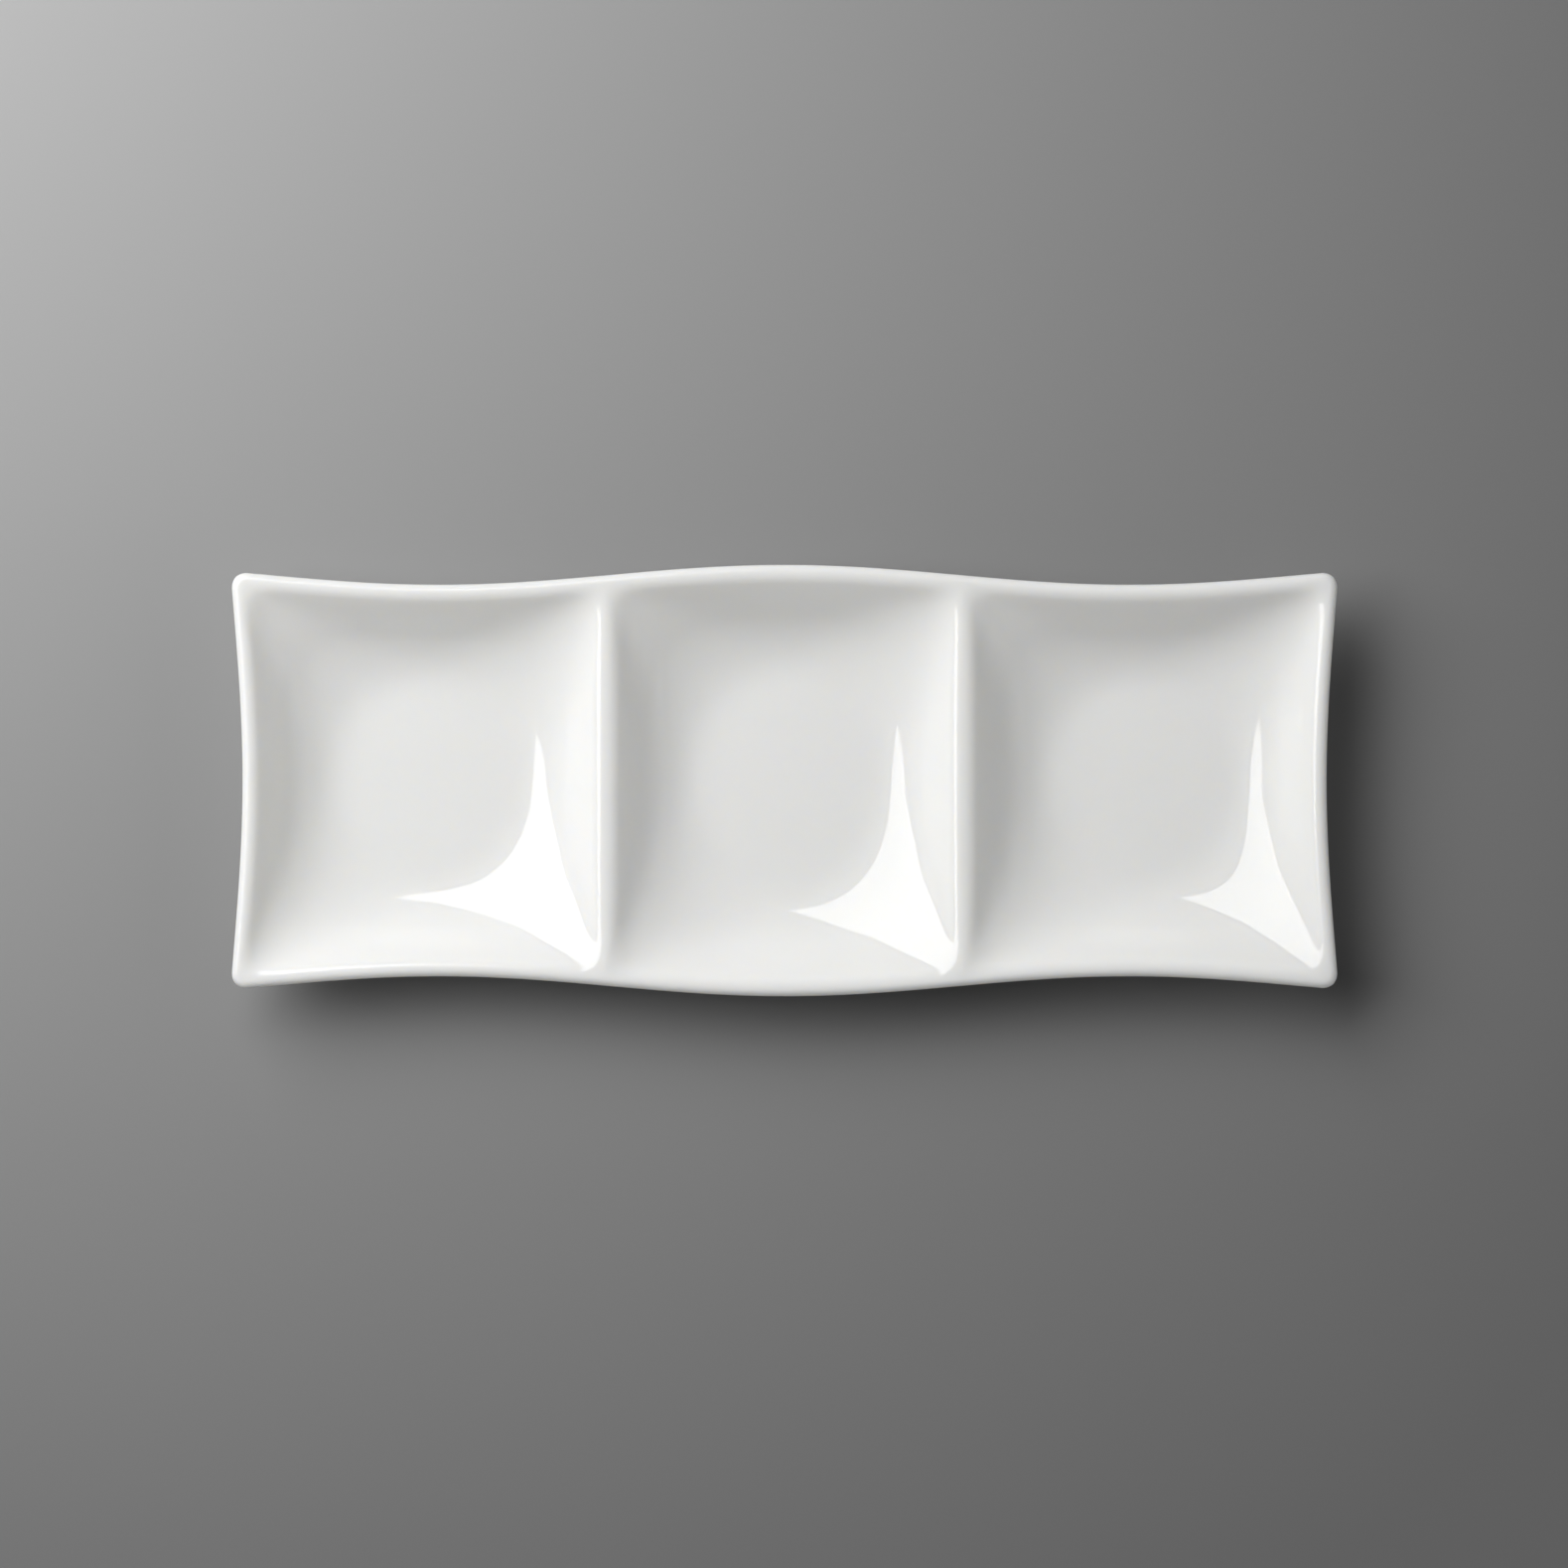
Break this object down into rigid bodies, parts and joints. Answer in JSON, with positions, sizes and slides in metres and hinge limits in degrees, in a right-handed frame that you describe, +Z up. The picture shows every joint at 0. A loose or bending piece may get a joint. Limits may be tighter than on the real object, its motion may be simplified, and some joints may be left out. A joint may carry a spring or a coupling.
{
  "type": "divided plate",
  "caption": "Long glazed porcelain serving dish with a wavy rim, wells in a row parted by rolled dividers, and a foot ring under each well.",
  "frame": {"origin": "on the table, under the middle of the dish", "axes": "+X along the row of wells, +Y across the dish, +Z up out of the wells"},
  "size_m": [0.292, 0.114, 0.0217],
  "materials": {
    "glazed_porcelain": "white porcelain under a clear glossy glaze, with bare matt clay on the lands of the foot rings"
  },
  "bodies": {
    "root": {"dish": "glazed_porcelain"}
  },
  "joints": []
}
